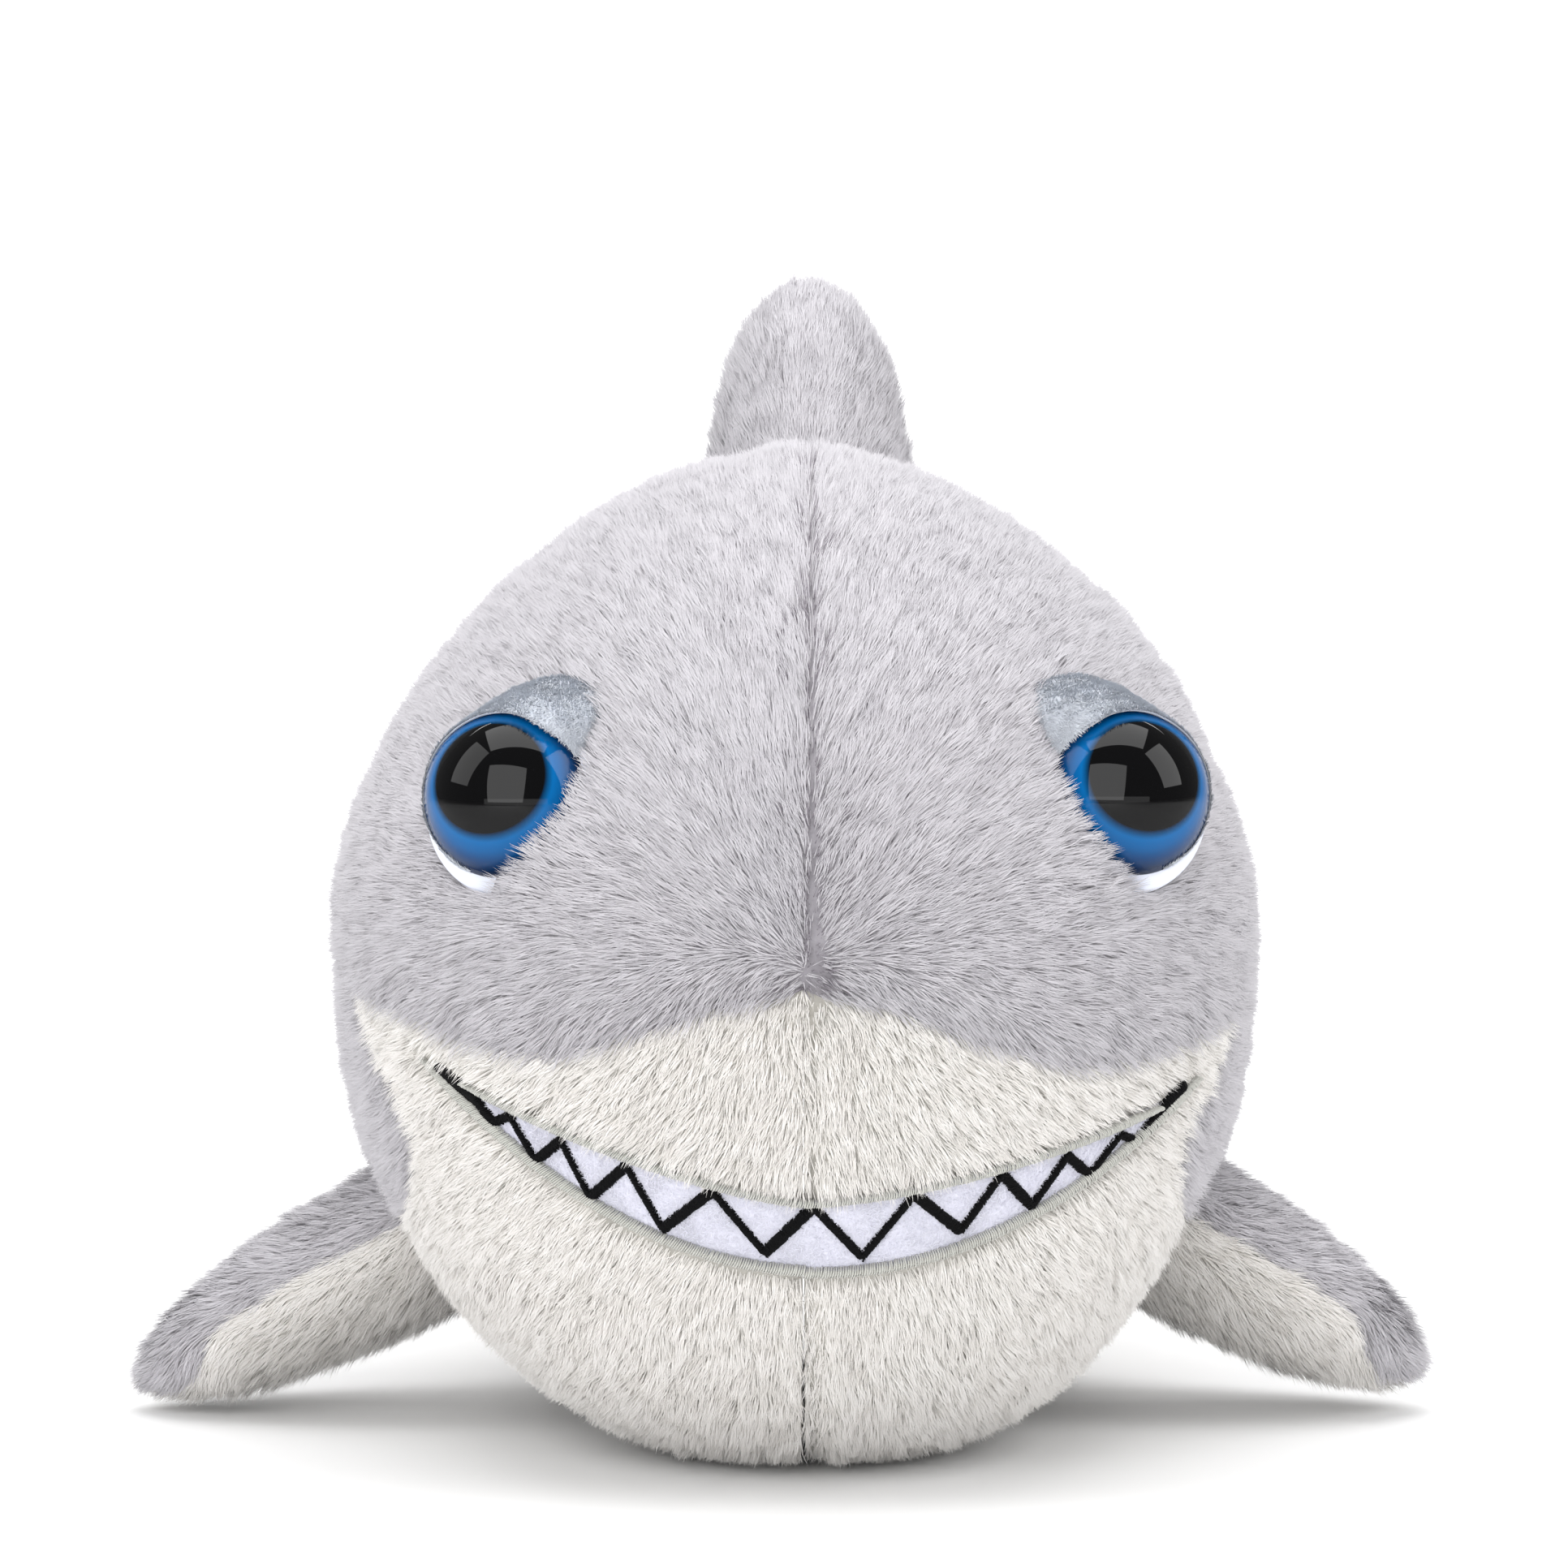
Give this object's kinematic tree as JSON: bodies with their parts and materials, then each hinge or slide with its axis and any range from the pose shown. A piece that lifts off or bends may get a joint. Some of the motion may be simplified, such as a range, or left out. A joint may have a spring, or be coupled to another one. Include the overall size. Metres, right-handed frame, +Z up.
{
  "type": "plush shark",
  "caption": "Stuffed plush shark with a round grey back, cream face and belly, stitched zigzag smile, glossy blue eyes, and fins and a tail that bend at their seams.",
  "frame": {"origin": "on the surface the toy stands on, under the middle of its box", "axes": "+Z up; the nose points along -Y and the tail along +Y; left is the side at -X"},
  "size_m": [0.2538, 0.3302, 0.2134],
  "materials": {
    "grey_plush": "matte",
    "cream_plush": "matte",
    "stuffing": "matte",
    "mouth_felt": "matte",
    "eyelid_felt": "matte",
    "black_thread": "satin",
    "pale_thread": "satin",
    "eye_blue": "gloss",
    "eye_white": "satin",
    "washer_plastic": "matte"
  },
  "bodies": {
    "body": {"back_panel_left": "grey_plush", "face_belly_panel_left": "cream_plush", "back_panel_right": "grey_plush", "face_belly_panel_right": "cream_plush", "body_stuffing": "stuffing", "mouth_felt": "mouth_felt", "teeth_zigzag_stitching": "black_thread", "mouth_border_stitch_upper": "pale_thread", "mouth_border_stitch_lower": "pale_thread", "eye_dome_left": "eye_blue", "eye_white_disc_left": "eye_white", "eye_lock_washer_left": "washer_plastic", "eyelid_left": "eyelid_felt", "eye_dome_right": "eye_blue", "eye_white_disc_right": "eye_white", "eye_lock_washer_right": "washer_plastic", "eyelid_right": "eyelid_felt"},
    "dorsal_fin": {"dorsal_fin_panel_left": "grey_plush", "dorsal_fin_panel_right": "grey_plush", "dorsal_fin_stuffing": "stuffing"},
    "pectoral_fin_left": {"pectoral_top_panel_left": "grey_plush", "pectoral_under_panel_left": "cream_plush", "pectoral_stuffing_left": "stuffing"},
    "pectoral_fin_right": {"pectoral_top_panel_right": "grey_plush", "pectoral_under_panel_right": "cream_plush", "pectoral_stuffing_right": "stuffing"},
    "tail": {"tail_panel_left": "grey_plush", "caudal_fin_panel_left": "grey_plush", "tail_panel_right": "grey_plush", "caudal_fin_panel_right": "grey_plush", "tail_under_panel": "cream_plush", "tail_stuffing": "stuffing", "caudal_fin_stuffing": "stuffing"}
  },
  "joints": [
    {"name": "pectoral_left_flap", "type": "hinge", "parent": "body", "child": "pectoral_fin_left", "pos_m": [-0.071, -0.05, 0.0345], "axis": [0.1175, 0.9659, -0.2306], "range_deg": [0, 30], "stiffness_Nm_per_rad": 0.03},
    {"name": "pectoral_right_flap", "type": "hinge", "parent": "body", "child": "pectoral_fin_right", "pos_m": [0.071, -0.05, 0.0345], "axis": [0.1175, -0.9659, 0.2306], "range_deg": [0, 30], "stiffness_Nm_per_rad": 0.03},
    {"name": "dorsal_bend", "type": "hinge", "parent": "body", "child": "dorsal_fin", "pos_m": [0, 0.0075, 0.1745], "axis": [0, 0.9135, -0.4067], "range_deg": [-20, 20], "stiffness_Nm_per_rad": 0.05},
    {"name": "tail_wag", "type": "hinge", "parent": "body", "child": "tail", "pos_m": [0, 0.08, 0.095], "axis": [0, 0, 1], "range_deg": [-25, 25], "stiffness_Nm_per_rad": 0.08}
  ]
}
